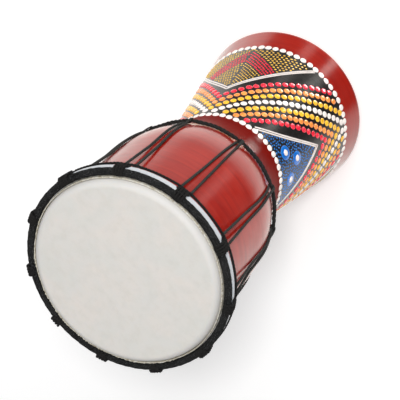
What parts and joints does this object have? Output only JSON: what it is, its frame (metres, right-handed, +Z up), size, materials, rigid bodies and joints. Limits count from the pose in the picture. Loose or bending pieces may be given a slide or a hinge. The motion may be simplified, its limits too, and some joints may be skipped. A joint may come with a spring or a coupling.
{
  "type": "djembe",
  "caption": "Small goblet-shaped hand drum: a turned, lacquered wooden shell with a rawhide head held by a cloth-covered crown ring and laced with cord to a ring at the waist.",
  "frame": {"origin": "centre of the foot's rim, on the surface that the drum stands on", "axes": "+Z up the drum's axis from the foot to the playing skin; -Y faces the side that carries the first crown hitch"},
  "size_m": [0.2172, 0.2187, 0.4],
  "materials": {
    "lacquered_wood": "turned hardwood, mahogany-red stain under gloss lacquer, with a band of raised enamel dots on satin black round the foot",
    "rawhide": "shaved off-white rawhide, smooth, faintly mottled",
    "steel": "plain drawn steel rod, hidden inside the skin's fold and the cloth",
    "black_cloth": "black woven cotton wrapped tightly round the crown ring",
    "black_cord": "black twisted synthetic cord with a slight sheen"
  },
  "bodies": {
    "root": {"shell": "lacquered_wood", "drum_skin": "rawhide", "flesh_hoop": "steel", "crown_ring_core": "steel", "crown_ring_cloth": "black_cloth", "crown_hitch_01": "black_cord", "crown_hitch_02": "black_cord", "crown_hitch_03": "black_cord", "crown_hitch_04": "black_cord", "crown_hitch_05": "black_cord", "crown_hitch_06": "black_cord", "crown_hitch_07": "black_cord", "crown_hitch_08": "black_cord", "crown_hitch_09": "black_cord", "crown_hitch_10": "black_cord", "crown_hitch_11": "black_cord", "crown_link_cord": "black_cord", "lacing_run_01": "black_cord", "lacing_run_02": "black_cord", "lacing_run_03": "black_cord", "lacing_run_04": "black_cord", "lacing_run_05": "black_cord", "lacing_run_06": "black_cord", "lacing_run_07": "black_cord", "lacing_run_08": "black_cord", "lacing_run_09": "black_cord", "lacing_run_10": "black_cord", "lacing_run_11": "black_cord", "waist_ring": "black_cord", "tie_off_knot": "black_cord"}
  },
  "joints": []
}
